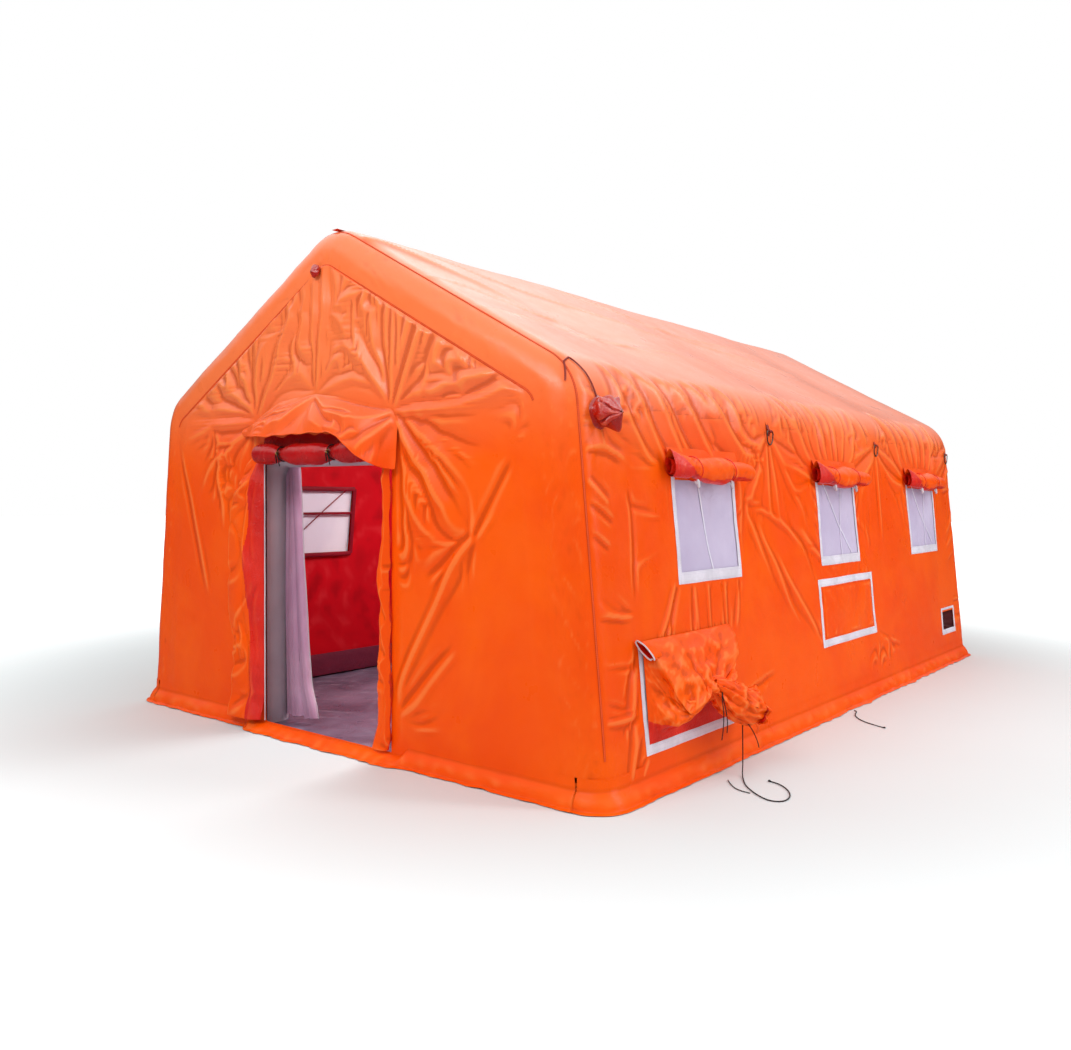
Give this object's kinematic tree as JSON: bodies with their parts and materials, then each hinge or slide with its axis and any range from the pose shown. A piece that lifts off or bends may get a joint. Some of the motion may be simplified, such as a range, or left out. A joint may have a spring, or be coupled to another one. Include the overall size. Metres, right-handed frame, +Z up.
{
  "type": "inflatable medical tent",
  "caption": "Gabled inflatable tent with air-beam arches, a fabric cover over an inner liner, an open rolled door, side windows with rolled flaps, a hatch, and duct and cable ports.",
  "frame": {"origin": "centre of the floor plan, on the underside of the groundsheet", "axes": "+Z up, +Y along the tent away from the door gable, +X towards the wall with the duct port"},
  "size_m": [4.5507, 6.2165, 2.9819],
  "materials": {
    "cover": "glossy coated fabric, orange",
    "roof": "glossy coated fabric, orange",
    "air_beam": "inflated coated fabric tube, grey",
    "liner": "matte fabric, red",
    "floor": "coated groundsheet, grey",
    "inner_door": "coated fabric, red",
    "border": "sewn white webbing",
    "screen": "fine white insect mesh",
    "curtain": "thin translucent cloth",
    "steel": "zinc-plated wire",
    "valve": "moulded black plastic",
    "cord": "braided black cord"
  },
  "bodies": {
    "tent": {"arch_1": "air_beam", "arch_2": "air_beam", "arch_3": "air_beam", "arch_4": "air_beam", "ridge_beam_1": "air_beam", "ridge_beam_2": "air_beam", "ridge_beam_3": "air_beam", "eave_beam_right_1": "air_beam", "eave_beam_right_2": "air_beam", "eave_beam_right_3": "air_beam", "eave_beam_left_1": "air_beam", "eave_beam_left_2": "air_beam", "eave_beam_left_3": "air_beam", "door_frame_beam": "air_beam", "front_band": "cover", "gable_front": "cover", "gable_back": "cover", "wall_right": "cover", "wall_left": "cover", "skirt_front": "cover", "skirt_back": "cover", "skirt_right": "cover", "skirt_left": "cover", "duct_sleeve": "cover", "valve_boot": "cover", "roof_right": "roof", "roof_left": "roof", "inner_liner": "liner", "groundsheet": "floor", "window_screen_right_1": "screen", "window_screen_right_2": "screen", "window_screen_right_3": "screen", "window_screen_left_1": "screen", "window_screen_left_2": "screen", "window_screen_left_3": "screen", "hatch_frame": "border", "duct_frame": "border", "cable_port_frame": "border", "valve_body": "valve", "duct_cord": "cord", "skirt_cord": "cord"},
    "canopy": {"door_canopy": "cover"},
    "left_flap": {"door_flap_left": "cover"},
    "right_flap": {"door_flap_right": "cover"},
    "door_roll": {"door_roll": "inner_door"},
    "curtain": {"door_curtain": "curtain"},
    "right_window_roll_1": {"window_roll_right_1": "cover"},
    "right_window_roll_2": {"window_roll_right_2": "cover"},
    "right_window_roll_3": {"window_roll_right_3": "cover"},
    "left_window_roll_1": {"window_roll_left_1": "cover"},
    "left_window_roll_2": {"window_roll_left_2": "cover"},
    "left_window_roll_3": {"window_roll_left_3": "cover"},
    "hatch": {"hatch_flap": "cover"},
    "right_guy_ring_2": {"guy_ring_right_2": "steel"},
    "right_guy_ring_3": {"guy_ring_right_3": "steel"},
    "right_guy_ring_4": {"guy_ring_right_4": "steel"},
    "left_guy_ring_2": {"guy_ring_left_2": "steel"},
    "left_guy_ring_3": {"guy_ring_left_3": "steel"},
    "left_guy_ring_4": {"guy_ring_left_4": "steel"},
    "valve_cap": {"valve_cap": "valve"}
  },
  "joints": [
    {"name": "canopy_hinge", "type": "hinge", "parent": "tent", "child": "canopy", "pos_m": [0, -3.0023, 2.02], "axis": [-1, 0, 0], "range_deg": [0, 80]},
    {"name": "left_flap_hinge", "type": "hinge", "parent": "tent", "child": "left_flap", "pos_m": [-0.575, -3.0023, 0.8], "axis": [0, 0, 1], "range_deg": [0, 150]},
    {"name": "right_flap_hinge", "type": "hinge", "parent": "tent", "child": "right_flap", "pos_m": [0.575, -3.0023, 0.8], "axis": [0, 0, 1], "range_deg": [0, 120]},
    {"name": "door_roll_hinge", "type": "hinge", "parent": "tent", "child": "door_roll", "pos_m": [0, -3.0023, 1.8], "axis": [-1, 0, 0], "range_deg": [0, 12]},
    {"name": "curtain_hinge", "type": "hinge", "parent": "tent", "child": "curtain", "pos_m": [-0.65163, -2.78505, 0.8], "axis": [0, 0, 1], "range_deg": [0, 70]},
    {"name": "right_window_roll_1_hinge", "type": "hinge", "parent": "tent", "child": "right_window_roll_1", "pos_m": [1.78574, -1.8138, 1.7], "axis": [0, -1, 0], "range_deg": [0, 30]},
    {"name": "right_window_roll_2_hinge", "type": "hinge", "parent": "tent", "child": "right_window_roll_2", "pos_m": [1.78574, 0.09, 1.7], "axis": [0, -1, 0], "range_deg": [0, 30]},
    {"name": "right_window_roll_3_hinge", "type": "hinge", "parent": "tent", "child": "right_window_roll_3", "pos_m": [1.78574, 1.9938, 1.7], "axis": [0, -1, 0], "range_deg": [0, 30]},
    {"name": "left_window_roll_1_hinge", "type": "hinge", "parent": "tent", "child": "left_window_roll_1", "pos_m": [-1.78574, -1.8138, 1.7], "axis": [0, 1, 0], "range_deg": [0, 30]},
    {"name": "left_window_roll_2_hinge", "type": "hinge", "parent": "tent", "child": "left_window_roll_2", "pos_m": [-1.78574, 0.09, 1.7], "axis": [0, 1, 0], "range_deg": [0, 30]},
    {"name": "left_window_roll_3_hinge", "type": "hinge", "parent": "tent", "child": "left_window_roll_3", "pos_m": [-1.78574, 1.9938, 1.7], "axis": [0, 1, 0], "range_deg": [0, 30]},
    {"name": "hatch_hinge", "type": "hinge", "parent": "tent", "child": "hatch", "pos_m": [1.87708, 0.15, 0.84], "axis": [0, -1, 0], "range_deg": [0, 150]},
    {"name": "right_guy_ring_2_hinge", "type": "hinge", "parent": "tent", "child": "right_guy_ring_2", "pos_m": [1.7871, -0.9519, 1.865], "axis": [0, -1, 0], "range_deg": [0, 150]},
    {"name": "right_guy_ring_3_hinge", "type": "hinge", "parent": "tent", "child": "right_guy_ring_3", "pos_m": [1.7871, 0.9519, 1.865], "axis": [0, -1, 0], "range_deg": [0, 150]},
    {"name": "right_guy_ring_4_hinge", "type": "hinge", "parent": "tent", "child": "right_guy_ring_4", "pos_m": [1.7871, 2.8197, 1.865], "axis": [0, -1, 0], "range_deg": [0, 150]},
    {"name": "left_guy_ring_2_hinge", "type": "hinge", "parent": "tent", "child": "left_guy_ring_2", "pos_m": [-1.7871, -0.9519, 1.865], "axis": [0, 1, 0], "range_deg": [0, 150]},
    {"name": "left_guy_ring_3_hinge", "type": "hinge", "parent": "tent", "child": "left_guy_ring_3", "pos_m": [-1.7871, 0.9519, 1.865], "axis": [0, 1, 0], "range_deg": [0, 150]},
    {"name": "left_guy_ring_4_hinge", "type": "hinge", "parent": "tent", "child": "left_guy_ring_4", "pos_m": [-1.7871, 2.8197, 1.865], "axis": [0, 1, 0], "range_deg": [0, 150]},
    {"name": "valve_cap_slide", "type": "slide", "parent": "tent", "child": "valve_cap", "axis": [1, 0, 0], "range_m": [0, 0.05]}
  ]
}
